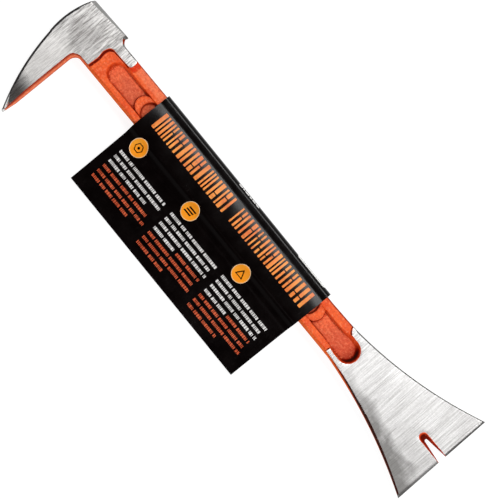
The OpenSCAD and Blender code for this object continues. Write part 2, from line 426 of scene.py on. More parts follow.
def steel_head():
    mat = ground_steel("ground_steel_head", srgb(104, 101, 99), srgb(254, 252, 250), streak=0.78,
                       length=8.5, tilt=8, contrast=2.15, rough=0.42, cross=12)
    # faint clouding left by the grinding belt
    cloud = mat.noise((38, 30, 38), loc=(6, 2, 0))
    mat.tint(mat.fade(cloud, over=(0.4, 0.62), to=(0, 0.32)), srgb(148, 144, 142))
    # darker oval in the middle of the head
    x, y, _ = mat.place()
    oval = ellipse(mat, mat.plus(x, 0.002), mat.plus(y, 0.001), half_x=0.0085, half_y=0.006)
    mat.tint(mat.fade(oval, over=(0.0, 1.6), to=(0.34, 0.0)), srgb(128, 124, 122))
    # brighter band towards the pick
    bright = mat.times(mat.fade(y, over=(-0.008, -0.014)), mat.fade(y, over=(-0.042, -0.036)))
    mat.tint(mat.times(bright, 0.42), srgb(250, 247, 244))
    # painted dark reflection in a band where the pick thins
    band = mat.times(mat.fade(y, over=(-0.0395, -0.0455)),
                     mat.fade(y, over=(-0.0535, -0.0515), to=(0.35, 1)))
    mat.tint(mat.times(band, 0.72), srgb(92, 84, 80))
    return mat.material


def steel_claw():
    mat = ground_steel("ground_steel_claw", srgb(154, 152, 151), srgb(238, 237, 236),
                       streak=0.50, length=16, tilt=6, contrast=1.25, rough=0.42)
    x, y, _ = mat.place()
    # painted dark reflection, soft and cloudy, towards the pick-side edge
    reflection_noise = mat.noise((105, 130, 105), loc=(1.3, 0.4, 0), detail=3, rough=0.55)
    line = mat.fade(x, over=(0.205, 0.282), to=(-0.0075, -0.0165), clamp=False)
    edge = mat.plus(mat.math("SUBTRACT", line, y),
                    mat.times(mat.math("SUBTRACT", reflection_noise, 0.5), 0.024))
    dark_reflection = mat.times(mat.fade(edge, over=(-0.003, 0.0055)), mat.fade(x, over=(0.212, 0.234)))
    mat.tint(mat.times(dark_reflection, 0.82), srgb(104, 102, 100))
    # one darker patch of painted reflection within it
    reflection_patch = ellipse(mat, mat.math("SUBTRACT", x, 0.2365), mat.plus(y, 0.0122),
                    half_x=0.0095, half_y=0.0036)
    reflection_patch = mat.plus(reflection_patch, mat.times(mat.math("SUBTRACT", reflection_noise, 0.5), 2.2))
    mat.tint(mat.fade(reflection_patch, over=(0.1, 1.5), to=(0.5, 0.0)), srgb(112, 110, 108))
    # clouding towards the cutting edge
    cloud = mat.noise((26, 34, 26), loc=(3, 0, 0))
    far = mat.times(mat.fade(x, over=(0.236, 0.268)),
                    mat.fade(cloud, over=(0.35, 0.6), to=(0.25, 1)))
    mat.tint(mat.times(far, 0.34), srgb(140, 138, 136))
    # the ground edge's bevel: a darker line, painted dark reflection, strongest on the +Y half
    end = mat.fade(x, over=(0.2806, 0.2811))
    mat.tint(mat.times(end, mat.fade(y, over=(-0.002, 0.006), to=(0.55, 0.9))), srgb(86, 84, 83))
    return mat.material


def steel_dark():
    # dark steel on the head's back and striking sides and the blade's +Y side; on the bare rounded
    # edges of the tongue and the claw's +Y side the near-black is painted shade
    mat = Material("dark_steel_and_painted_shade")
    grit = mat.noise(900, detail=4, rough=0.6)
    layers = mat.noise((60, 60, 2500), detail=3, rough=0.6)
    face = mat.mix(mat.fade(grit, over=(0.35, 0.65)), srgb(18, 16, 16), srgb(38, 35, 35))
    scale = mat.mix(mat.fade(grit, over=(0.35, 0.65)), srgb(58, 53, 50), srgb(98, 92, 88))
    wall = mat.times(mat.attr("wall"), mat.fade(layers, over=(0.3, 0.6), to=(0.7, 1.0)))
    mat.bsdf(Base_Color=mat.mix(wall, face, scale), Metallic=0.2,
             Roughness=mat.fade(layers, over=(0.3, 0.7), to=(0.45, 0.62)),
             Normal=mat.bump(mat.plus(grit, layers), strength=0.4, distance=0.00008))
    return mat.material


def orange_paint():
    """Powder coat steered by the mesh's pit, painted-shade and wall attributes."""
    mat = Material("orange_powder_coat")
    pit, crease = mat.attr("pit"), mat.attr("crease")
    cloud = mat.noise(140, detail=3, rough=0.55)
    mottle = mat.noise(650, detail=4, rough=0.65)
    fine = mat.noise(2300, detail=3, rough=0.6)
    cell = mat.add("TexVoronoi", {"Vector": mat.mapped(900), "Scale": 1.0}).outputs["Distance"]
    smooth = mat.mix(mat.fade(cloud, over=(0.35, 0.65)), srgb(242, 84, 24), srgb(255, 104, 36))
    # rough pocket floor, redder and darker towards the claw
    floor = mat.mix(mat.fade(mottle, over=(0.35, 0.65)), srgb(232, 84, 38), srgb(255, 128, 78))
    pores = mat.times(mat.fade(cell, over=(0.25, 0.0)), 0.35)
    floor = mat.mix(pores, floor, srgb(192, 54, 22))
    smoky = mat.noise((60, 110, 60), loc=(4, 2, 0))
    floor = mat.mix(mat.fade(smoky, over=(0.5, 0.68), to=(0, 0.45)), floor, srgb(192, 84, 62))
    claw = mat.fade(mat.place()[0], over=(0.19, 0.214), to=(0, 0.75))
    floor = mat.mix(claw, floor, srgb(222, 74, 40))
    mat.bsdf(Base_Color=mat.mix(pit, smooth, floor))
    # painted shade: dark red in creases, nearly black where deepest
    patchy = mat.fade(mottle, over=(0.2, 0.6), to=(0.75, 1))
    mat.tint(mat.times(crease, patchy, clamp=True), srgb(140, 20, 4))
    mat.tint(mat.fade(crease, over=(0.95, 1.45), to=(0, 0.95)), srgb(42, 22, 16))
    # painted reflection of the pale floor: a paler, pinkish side towards the pick, seen through the
    # wall mask below
    x, y, _ = mat.place()
    floor_reflection = mat.mix(mat.fade(mottle, over=(0.36, 0.64)), srgb(212, 116, 84), srgb(238, 156, 126))
    side_coat_and_reflection = mat.mix(mat.fade(x, over=(0.003, 0.0125), to=(0.85, 0.0)),
                        srgb(226, 106, 46), floor_reflection)
    # redder orange on the slope from the head's ground face to the painted land
    slope = mat.times(mat.fade(x, over=(0.0256, 0.0260)), mat.fade(x, over=(0.0294, 0.0289)))
    mat.tint(mat.times(slope, mat.fade(y, over=(0.0050, 0.0058), to=(0, 0.75))), srgb(226, 46, 2))
    # painted highlight: paler land just behind the slope
    pale = mat.times(mat.fade(x, over=(0.0294, 0.0300)), mat.fade(x, over=(0.062, 0.05)))
    mat.tint(mat.times(pale, mat.fade(y, over=(0.0062, 0.0072), to=(0, 0.4))),
             srgb(252, 146, 108))
    # steep outer sides in a paler orange, with painted shade, dark red to brown, in the creases
    shaded_side = mat.mix(mat.fade(crease, over=(0.95, 1.4)), srgb(112, 26, 10), srgb(54, 38, 32))
    sides = mat.mix(mat.math("MINIMUM", crease, 1.0), side_coat_and_reflection, shaded_side)
    mat.tint(mat.times(mat.attr("wall"), 0.8), sides)
    # darker grain of the coat's own colour
    grain = mat.fade(mat.noise(860, loc=(9, 3, 1), detail=3, rough=0.6),
                     over=(0.40, 0.64), to=(0.0, 0.62))
    grain = mat.times(grain, mat.fade(crease, over=(0.8, 1.2), to=(1, 0)))
    base = mat.shader.inputs["Base Color"].links[0].from_socket
    mat.tint(grain, mat.mix(0.62, base, srgb(186, 44, 16)))
    # light flecks away from the creases
    glint = mat.fade(mat.noise(760, loc=(1, 6, 4), detail=3, rough=0.65),
                     over=(0.50, 0.68), to=(0.0, 0.52))
    mat.tint(mat.times(glint, mat.rest(crease)), srgb(255, 150, 100))
    # thin specks of wear and dust
    speck = mat.fade(mat.noise(1500, loc=(5, 1, 2)), over=(0.70, 0.76))
    mat.tint(mat.times(speck, 0.35), srgb(255, 170, 128))
    # relief of fine grain, mottle and the floor's pores
    relief = mat.plus(mat.times(mottle, 0.6), mat.times(mat.times(cell, pit), 0.8))
    relief = mat.plus(mat.times(fine, 0.35), relief)
    gloss = mat.times(mat.rest(mat.times(crease, 0.9)), mat.rest(mat.attr("wall")))
    mat.bsdf(Metallic=0.0, IOR=1.5, Specular_IOR_Level=mat.times(gloss, 0.24),
             Roughness=mat.plus(mat.fade(mottle, over=(0.3, 0.7), to=(0.40, 0.52)),
                                mat.times(pit, 0.10)),
             Normal=mat.bump(relief, strength=0.5, distance=0.00012))
    return mat.material


def card_print(name, dark, light, scuff, spec, rough=0.36):
    """Coated printed card: fine paper tooth, a satin varnish and light rubbing."""
    mat = Material(name)
    tooth = mat.noise(3800, detail=3, rough=0.6)
    cloud = mat.noise(120, detail=3, rough=0.55)
    rub = mat.fade(mat.noise((420, 180, 420), turn=18, detail=5, rough=0.7), over=(0.56, 0.74))
    mat.bsdf(Base_Color=mat.mix(mat.fade(cloud, over=(0.35, 0.65)), dark, light))
    mat.tint(mat.times(rub, scuff), srgb(120, 116, 114))
    sheen = mat.fade(cloud, over=(0.3, 0.7), to=(rough - 0.04, rough + 0.05))
    # less shine in the bend between front and flap, and on faces turned towards -Y
    y = mat.place()[1]
    bend = mat.times(mat.fade(y, over=(-0.0105, -0.0125)), mat.fade(y, over=(-0.0245, -0.0205)))
    facing = mat.xyz(mat.add("NewGeometry").outputs["Normal"])[1]
    gloss = mat.times(mat.fade(facing, over=(-0.42, -0.2), to=(0.25, 1.0)),
                      mat.rest(mat.times(bend, 0.6), clamp=False))
    mat.bsdf(Roughness=mat.plus(sheen, mat.times(rub, 0.06)),
             Normal=mat.bump(mat.plus(tooth, mat.times(cloud, 2.0)),
                             strength=0.25, distance=0.00003),
             Specular_IOR_Level=mat.times(gloss, spec))
    return mat


def ink_orange():
    """Orange print, redder in patches and worn brown."""
    mat = card_print("card_ink_orange", srgb(238, 128, 48), srgb(250, 158, 66),
                     scuff=0.0, spec=0.35)
    red = mat.fade(mat.noise(75, loc=(1, 3, 0)), over=(0.48, 0.62))
    mat.tint(mat.times(red, 0.55), srgb(214, 92, 44))
    worn = mat.fade(mat.noise(520, loc=(2, 7, 0), detail=5, rough=0.68), over=(0.57, 0.66))
    mat.tint(mat.times(worn, 0.5), srgb(150, 70, 26))
    return mat.material


def card_raw(name, dark, light):
    """Unprinted fibrous stock, also used for the glue."""
    mat = Material(name)
    fibre = mat.noise((2600, 2600, 9000), detail=4, rough=0.65)
    mat.bsdf(Base_Color=mat.mix(mat.fade(fibre, over=(0.3, 0.7)), dark, light),
             Roughness=mat.fade(fibre, over=(0.3, 0.7), to=(0.7, 0.85)),
             Normal=mat.bump(fibre, strength=0.4, distance=0.00005))
    return mat.material


BAR_MATERIALS = [
    steel_head(), steel_claw(), steel_dark(), orange_paint(),
    # lighter steel on the tip facet is a painted highlight, darker steel on the poll bevel is
    # painted shade
    ground_steel("ground_steel_tip", srgb(222, 221, 219), srgb(250, 249, 247), streak=0.5,
                 length=8, tilt=50, contrast=0.8, rough=0.34).material,
    ground_steel("ground_steel_bevel", srgb(150, 148, 146), srgb(188, 186, 184), streak=0.4,
                 length=12, tilt=88, contrast=0.9, rough=0.40).material]
HEAD, CLAW, DARK, PAINT, FACET, BEVEL = range(6)

CARD_MATERIALS = [
    card_print("card_ink_black", srgb(6, 3, 3), srgb(9, 5, 5),
               scuff=0.010, spec=0.22, rough=0.21).material,
    ink_orange(),
    card_print("card_ink_disc", srgb(250, 150, 30), srgb(255, 166, 48),
               scuff=0.05, spec=0.3).material,
    card_print("card_ink_rim", srgb(236, 196, 150), srgb(246, 214, 176),
               scuff=0.05, spec=0.3).material,
    card_print("card_ink_white", srgb(206, 204, 202), srgb(228, 226, 224),
               scuff=0.15, spec=0.3).material,
    card_print("card_ink_red_orange", srgb(186, 76, 44), srgb(214, 98, 60),
               scuff=0.12, spec=0.3).material,
    card_raw("card_inside", srgb(150, 146, 140), srgb(176, 172, 166)),
    card_raw("card_cut_edge", srgb(128, 124, 120), srgb(172, 168, 164))]
BLACK, ORANGE, DISC, RIM, WHITE, RED, INSIDE, CUT_EDGE = range(8)

LABEL_MATERIALS = [
    card_raw("label_paper", srgb(232, 231, 228), srgb(246, 245, 242)),
    card_print("label_bars", srgb(20, 19, 20), srgb(34, 32, 33), scuff=0.1, spec=0.2).material]
GLUE = card_raw("dried_glue", srgb(214, 202, 168), srgb(232, 222, 190))

# ------------------------------------------------------------------ the forging's outlines
MID = 7.0             # middle plane
WALL = 7.7            # rise of the drafted sides per millimetre of inset, a 7.4 degree draft
LAND = 13.0           # painted land
FACE = 14.0           # ground faces of head and blade root
FLOOR = 9.2           # web pocket's floor
BAND = 12.1           # raised band in the pocket
ROUND_RUN = 0.879     # inset from the top of the draft to the end of the rounding, per radius
ROUND_LAP = 0.129     # share of that run by which the rounding cuts back into the draft

# outline circles: centre x, centre y, radius
CLAW_FACE_SIDE = (182.0, 253.6, 245.05)
CLAW_PICK_SIDE = (178.6, -291.53, 281.7)
HEAD_BACK = (32.7, -3.55, 49.4)
PICK_BACK = (114.45, 7.11, 131.6)

# ground cuts: a point on the cut, the direction off the metal, the fall per millimetre
POLL_POINT, POLL_OUT, POLL_FALL = np.array([-13.2, 12.33]), np.array([-0.0858, 0.9963]), 0.68
TIP_POINT, TIP_OUT, TIP_FALL = np.array([-6.1, -45.3]), np.array([-0.785, -0.619]), 0.72

SLOT_Y = 0.35         # centre line of the nail slot


def circle_y(circle, x, sign):
    return circle[1] + sign * math.sqrt(circle[2] * circle[2] - (x - circle[0]) ** 2)


def along_x(circle, x0, x1, sign, step):
    count = max(2, int(abs(x1 - x0) / step))
    xs = [x0 + (x1 - x0) * i / count for i in range(count)]
    return [(x, circle_y(circle, x, sign)) for x in xs]


def along_y(circle, y0, y1, step):
    """Points on the circle's -X half."""
    count = max(2, int(abs(y1 - y0) / step))
    ys = [y0 + (y1 - y0) * i / count for i in range(count)]
    return [(circle[0] - math.sqrt(circle[2] * circle[2] - (y - circle[1]) ** 2), y)
            for y in ys]


def edge_x(y):
    """The claw's cutting edge, slightly off square."""
    return 282.6 - (y + 32) / 64 * 0.7


def notch(low_y, high_y, half_mouth, overhang, end_x, end_radius):
    """Tapered slot line from the -Y mouth corner round the inner end to the +Y one."""
    low = (edge_x(low_y) + overhang, SLOT_Y - half_mouth)
    high = (edge_x(high_y) + overhang, SLOT_Y + half_mouth)
    return np.array(divided(low, (end_x, SLOT_Y - end_radius), 22)
                    + arc((end_x, SLOT_Y), end_radius, 270, 90, 10)
                    + divided((end_x, SLOT_Y + end_radius), high, 22) + [high])


# nail slot at the middle plane, and the top of its sloping walls
GROOVE_HALF = 2.62
slot = notch(-2.0, 2.7, half_mouth=2.33, overhang=0, end_x=269.47, end_radius=0.8)
groove = notch(-2.2, 2.9, half_mouth=GROOVE_HALF, overhang=0.6, end_x=266.95, end_radius=2.5)
groove_area = np.vstack([groove, [(290, SLOT_Y + GROOVE_HALF), (290, SLOT_Y - GROOVE_HALF)]])


def back_points(step):
    return along_y(HEAD_BACK, 12.45, -13.7, step) + along_y(PICK_BACK, -13.7, -57.3, step)


# open line from the slot's +Y mouth corner all the way round to its -Y one, metal on the left
side = np.array(
    path([slot[-1], (281.93, 29.86)], [0.9])
    + along_x(CLAW_FACE_SIDE, 281.93, 203.0, -1, 1.0)
    + path([(203.0, circle_y(CLAW_FACE_SIDE, 203.0, -1)), (198.0, 9.16), (185, 8.9),
            (49, 11.58), (15.8, 11.65)], [0.8, 1.2, 2.0, 1.0])
    + arc((15.8, 15.25), 3.6, 270, 193, 10) + [(12.3, 14.5), (12.8, 15.25)]
    + path([(12.6, 15.82), (-12.65, 15.2), (-14.1, 12.45)], [1.0, 0.5])
    + back_points(0.8)
    + [(-0.18, -57.7), (0.2, -58.05), (0.62, -58.15), (0.98, -57.9)]
    + path([(1.18, -57.3), (1.9, -50), (1.9, -14.35)], [0.8, 0.9])
    + arc((5.9, -14.35), 4.0, 180, 90, 10)
    + path([(5.9, -10.35), (48, -10.55), (185, -10.75), (198.0, -10.84),
            (204.5, circle_y(CLAW_PICK_SIDE, 204.5, 1))], [1.0, 2.0, 1.2, 0.8])
    + along_x(CLAW_PICK_SIDE, 204.5, 282.575, 1, 1.0)
    + path([(282.575, circle_y(CLAW_PICK_SIDE, 282.575, 1)), slot[0]], [0.9])
    + [tuple(slot[0])])
back_curve = np.array(back_points(1.0))
outline = np.vstack([side[:-1], slot[:-1]])

# step between the ground head and the painted land: (x, y) where it leaves the head's face
head_edge = smooth_curve([
    (10.6, -14), (10.85, -11), (10.95, -8.96), (11.2, -5.5), (11.25, -3.25), (10.85, -0.9),
    (10.55, 0.7), (10.7, 1.9), (11.0, 2.98), (11.3, 3.9), (11.95, 4.75), (13.3, 5.45),
    (15, 5.62), (20, 5.72), (24.6, 5.9), (25.7, 6.2), (26.3, 7.0), (26.45, 8.2), (26.4, 9.4),
    (26.0, 10.4), (25.1, 11.3), (24.8, 14)], 0.7)
# and where it meets the land
head_foot = smooth_curve([
    (12.5, -14), (12.7, -11), (12.85, -8.8), (13.05, -5.5), (13.1, -3.25), (12.75, -0.9),
    (12.5, 0.7), (12.55, 1.6), (12.75, 2.4), (13.05, 3.1), (13.5, 3.8), (14.4, 4.5),
    (15.6, 4.85), (20, 5.0), (26, 5.05), (28.3, 5.1), (29.6, 5.9), (29.9, 7.4), (29.9, 9.0),
    (29.8, 10.6), (29.7, 12), (29.6, 14)], 0.7)
head_zone = np.vstack([head_edge, [(24.8, 40), (-40, 40), (-40, -80), (8, -80), (8, -14)]])
head_land = np.vstack([head_foot, [(29.6, 40), (120, 40), (120, -40), (12.1, -40)]])
# the same two lines for the step between the painted land and the ground blade
blade_edge = smooth_curve([
    (199.0, 14), (199.5, 10.2), (200.0, 9.0), (200.8, 7.7), (202.1, 6.1), (203.2, 5.2),
    (203.6, 3), (203.2, 0), (202.2, -4), (201.3, -7.0), (200.85, -8.2), (200.75, -9.6),
    (200.7, -14)], 0.6)
blade_foot = smooth_curve([
    (198.3, 14), (198.8, 10.0), (199.3, 8.6), (200.1, 7.2), (201.4, 5.6), (202.4, 4.8),
    (202.8, 3), (202.4, 0), (201.5, -4), (200.6, -7.0), (200.2, -8.2), (200.1, -9.6),
    (200.05, -14)], 0.6)
blade_zone = np.vstack([blade_edge, [(200, -80), (400, -80), (400, 80), (199, 80)]])
blade_land = np.vstack([blade_foot, [(200, -80), (120, -80), (120, 80), (198, 80)]])


def pocket_loop(left, left_radii, lower, right, right_radii, upper):
    """Round-ended loop; fixed counts give the rim and the floor matching points."""
    return np.array(arc(left, left_radii[0], 90, 270, 36, left_radii[1])
                    + path(lower, (110, 6, 4, 4, 4), divided)
                    + arc(right, right_radii[0], -90, 90, 40, right_radii[1])
                    + path(upper, (5, 4, 4, 5, 110), divided))


pocket_rim = pocket_loop(
    (23.5, -0.7), (5.8, 5.8),
    [(23.5, -6.5), (195, -6.7), (199.4, -6.95), (201.4, -7.75), (204.3, -8.05), (207.9, -8.05)],
    (207.9, -1.38), (6.6, 6.67),
    [(207.9, 5.29), (203.6, 5.3), (201.3, 4.7), (199.4, 3.95), (195, 3.65), (23.5, 5.1)])
pocket_floor = pocket_loop(
    (24.9, -0.7), (4.9, 5.05),
    [(24.9, -5.75), (195, -5.95), (199.4, -6.05), (201.4, -6.2), (204.3, -6.4), (206.4, -6.5)],
    (206.4, -1.55), (5.3, 4.95),
    [(206.4, 3.4), (203.4, 3.35), (201.3, 3.2), (199.4, 3.0), (195, 2.9), (24.9, 4.35)])


def stadium(left, left_radius, right, right_radius):
    """Long frame with round ends, wide enough that only its ends show in the pocket."""
    x0, x1, y0, y1 = left + left_radius, right - right_radius, -0.6, -0.9
    return np.array(arc((x0, y0), left_radius, 90, 270, 30)
                    + divided((x0, y0 - left_radius), (x1, y1 - right_radius), 60)
                    + arc((x1, y1), right_radius, -90, 90, 30)
                    + divided((x1, y1 + right_radius), (x0, y0 + left_radius), 60))


band_outer = stadium(39.97, 5.5, 186.6, 6.3)
band_inner = stadium(45.1, 5.3, 181.5, 6.3)

# ------------------------------------------------------------------ the forging's heights


def share(near, far):
    return near / np.maximum(near + far, 1e-9)


def land_share(points, ground_zone, land_zone, edge, foot):
    """0 on the ground face, 1 on the painted land, between them across the step."""
    return np.where(inside(points, ground_zone), 0.0,
                    np.where(inside(points, land_zone), 1.0,
                             share(dist(points, edge), dist(points, foot))))


def face_height(points):
    """Height of the broad front faces without pockets or sides, painted share, tip facet."""
    x, y = points[:, 0], points[:, 1]
    thin = np.clip((-36 - y) / 23, 0, None)
    head = FACE - 5.6 * thin * thin
    poll = FACE - POLL_FALL * np.clip((points - POLL_POINT) @ POLL_OUT, 0, None)
    head = np.where(y > 5, np.minimum(head, poll), head)
    past_tip = (points - TIP_POINT) @ TIP_OUT
    facet = (y < -43) & (past_tip > 0.01)
    head = np.where(facet, head - TIP_FALL * np.clip(past_tip, 0, None), head)
    blade = FACE - np.clip(x - 200.7, 0, None) * (6.1 / 80.3)
    blade = np.minimum(blade, 7.9 - (x - 281.0) * 0.32)

    at_head = land_share(points, head_zone, head_land, head_edge, head_foot)
    at_blade = land_share(points, blade_zone, blade_land, blade_edge, blade_foot)
    blend = np.where(x > 25.5, np.clip(at_head, 0, 1) ** 1.1, ease(at_head))
    head_z = head + (LAND - head) * blend
    blade_z = blade + (LAND - blade) * ease(at_blade)
    near_head = x < 110
    return np.where(near_head, head_z, blade_z), np.where(near_head, at_head, at_blade), facet


def edge_radius(points, painted):
    """Rounding of the top edge: wide under paint, crisp where the face is ground."""
    x, y = points[:, 0], points[:, 1]
    radius = 0.10 + 0.42 * np.clip(painted, 0, 1)
    back = (x < 0.4) & (y < 12.3) & (dist(points, back_curve) < 3.0)
    radius = np.where(back, 0.80, radius)
    claw_pick_side = within(x, 205, 282.0) & (y < -6)
    radius = np.where(claw_pick_side, 0.10 + 0.36 * ease((x - 206) / 14), radius)
    radius = np.where(within(x, 14, 26) & (y > 10) & (painted < 0.3), 0.34, radius)
    return np.where(within(x, 203, 281) & (y > 5), 0.42, radius)


def darken(crease, where, value):
    """Raise the painted shade to at least `value` in a region."""
    return np.where(where, np.maximum(crease, value), crease)


def signed_dist(points, poly):
    """Distance to a closed line, positive inside."""
    return np.where(inside(points, poly), 1, -1) * dist(points, poly, True)


def sink_pocket(points, z):
    """Press the web pocket into z; also its depth share, pit and painted-shade masks and area."""
    x, y = points[:, 0], points[:, 1]
    in_rim, in_floor = inside(points, pocket_rim), inside(points, pocket_floor)
    to_rim, to_floor = dist(points, pocket_rim, True), dist(points, pocket_floor, True)
    sink = np.where(in_floor, 1.0, np.where(in_rim, share(to_rim, to_floor), 0.0))
    outer, inner = signed_dist(points, band_outer), signed_dist(points, band_inner)
    band = ease(outer / 0.8 + 0.5) * (1 - ease(inner / 0.8 + 0.5))
    rough = noise(x, y, 1.5) * 0.045 + noise(x, y, 0.7, 3.3) * 0.03 + noise(x, y, 6.0, 1.1) * 0.05
    bottom = FLOOR + (BAND - FLOOR) * band + rough * (1 - 0.7 * band)
    z = z - (z - bottom) * ease(sink) * (sink > 0)
    pit = np.where(sink > 0, ease((sink - 0.55) / 0.45) * (1 - 0.9 * band), 0)

    wall = np.where(within(sink, 0, 1), np.sin(np.pi * np.clip(sink, 0, 1) ** 1.6), 0)
    foot = np.where(in_floor, np.exp(-(to_floor / 0.45) ** 2), 0)
    band_lines = np.exp(-(outer / 0.42) ** 2) + np.exp(-(inner / 0.42) ** 2)
    off_band = 1 - 0.6 * band
    # painted shade on the walls and along the floor's edge: light on the +Y wall, dark on the other
    # wall and the ends
    shy = 1 - 0.92 * ease((y - 1.6) / 2.6)
    crease = darken(np.zeros(len(x)), in_rim,
                    np.maximum(wall * 0.75, foot * 0.95) * off_band * shy)
    crease = darken(crease, in_rim & (y > 1.6), foot * 0.28 * off_band)
    # painted shade lines along the raised band's edges
    crease = darken(crease, in_rim & (sink > 0.3), np.clip(band_lines, 0, 1) * 0.9)
    # the claw end of the pocket gets the darkest painted shade
    deep = ease((x - 206.5) / 5.5) * np.where(in_rim, 1, 0)
    crease = darken(crease, in_rim & (x > 205), 0.12 * ease((x - 205) / 3) + 0.45 * deep)
    crease = np.where(in_rim & (x > 208),
                      crease + 0.75 * deep * np.clip(wall * 1.3, 0, 1), crease)
    return z, sink, pit, crease, in_rim


def edge_creases(points, crease, painted, inset, wall_inset, run):
    """Painted shade along the outer edges and down the sides."""
    x, y = points[:, 0], points[:, 1]
    ground = painted < 0.5
    # painted shade on the +Y top edge, and a thin line of it along the -Y edge
    over = 1 - ease((inset - wall_inset - 0.45 * run) / (0.7 * run + 0.02))
    crease = darken(crease, (y > 6) & within(x, 27, 199.5), 0.9 * over)
    line = np.exp(-((inset - wall_inset - 0.75 * run) / 0.22) ** 2)
    crease = darken(crease, (y < -8) & within(x, 5, 200), 0.42 * line)
    # painted shade round the inside corner behind the striking face
    crease = darken(crease, (y > 10.5) & within(x, 11.8, 17), 0.62 + 0.3 * ease((y - 12) / 2))
    crease = darken(crease, (y > 11) & within(x, 11.5, 20) & (inset < wall_inset + 0.05), 0.9)
    # painted shade on the pick's inner side: dark at the top and foot of the draft, and a line on
    # the face
    rise = inset / np.maximum(wall_inset, 1e-6)
    inner = ground & (y < -7) & (x > -1) & (inset < wall_inset + 0.02)
    crease = darken(crease, inner & (x < 110),
                    0.9 * ease((rise - 0.55) / 0.3) + 0.85 * (1 - ease(rise / 0.14)))
    crease = darken(crease, within(x, -2, 12) & within(y, -57, -11) & (inset >= wall_inset)
                    & (inset < wall_inset + run + 0.3) & ground
                    & (dist(points, back_curve) > inset + 0.3), 0.95)
    # the painted shade on the shank's -Y side fades out away from the pick
    shade_fade = (inset < wall_inset - 0.02) & (y < -6) & within(x, 2, 206)
    crease = np.where(shade_fade, crease * (1 - ease((x - 3) / 7)), crease)
    # painted shade on the claw's -Y side and the dark line above it
    low = 0.35 - 0.27 * ease((x - 216) / 26)
    depth = 0.7 * ease((x - 200.5) / 9) + 0.75 * ease((x - 206) / 14)
    crease = darken(crease, inner & (x > 200), depth * ease((rise - low) / 0.26))
    return darken(crease, (x > 206) & (y < -6) & (inset >= wall_inset)
                  & (inset < wall_inset + run + 0.5) & ground,
                  1.0 + 0.48 * ease((x - 210) / 16))


def heights(points):
    """Height of the front half above each plan point, and the masks for its paint and painted
    shade.
    """
    x, y = points[:, 0], points[:, 1]
    face, painted, facet = face_height(points)
    z, sink, pit, crease, in_rim = sink_pocket(points, face)
    # painted shade on the steps to head and blade
    step = np.clip(1.7 * np.sin(np.pi * np.clip(painted, 0, 1) ** 0.8), 0, 1)
    start = 0.95 * np.clip(1 - painted / 0.22, 0, 1) * (painted > 0)
    step = np.where(within(x, 25.5, 110) & (y > 4.9), np.maximum(0.5 * step, start), step * 1.22)
    crease = darken(crease, ~in_rim, step)
    # nail slot's sloping walls, darkened with painted shade towards the inner end
    in_groove = inside(points, groove_area)
    slope = np.where(in_groove, share(dist(points, groove), dist(points, slot)), 0.0)
    z = np.where(in_groove, z - (z - MID) * slope, z)
    slot_end = np.clip((270.5 - x) / 3.5, 0, 1)
    crease = darken(crease, in_groove, (1.0 + 0.3 * slot_end) * ease(slope * 3.2))
    # painted skin is a little uneven, ground faces are flat
    skin = np.clip(painted, 0, 1) * (sink <= 0)
    z = z + skin * (noise(x, y, 9, 0.4) * 0.03 + noise(x, y, 3.1, 2.2) * 0.012)
    # drafted sides with a rounded top edge
    inset = dist(points, side)
    radius = edge_radius(points, painted)
    run = ROUND_RUN * radius
    wall_inset = (face - MID) / WALL
    fall = np.clip(1 - ((wall_inset + run - inset) / radius) ** 2, 0, None)
    rounded = z - radius + radius * np.sqrt(fall)
    edge_z = np.where(inset < wall_inset - ROUND_LAP * run,
                      np.minimum(MID + WALL * inset, z), rounded)
    z = np.where(inset < wall_inset + run, np.minimum(edge_z, z), z)
    crease = edge_creases(points, crease, painted, inset, wall_inset, run)
    wall = 1 - ease((inset - wall_inset + 0.05) / 0.3)
    return z, dict(painted=painted, facet=facet, crease=crease, pit=pit, wall=wall, sink=sink,
                   in_groove=in_groove, inset=inset, wall_inset=wall_inset, run=run,
                   radius=radius)


# ------------------------------------------------------------------ the forging's mesh


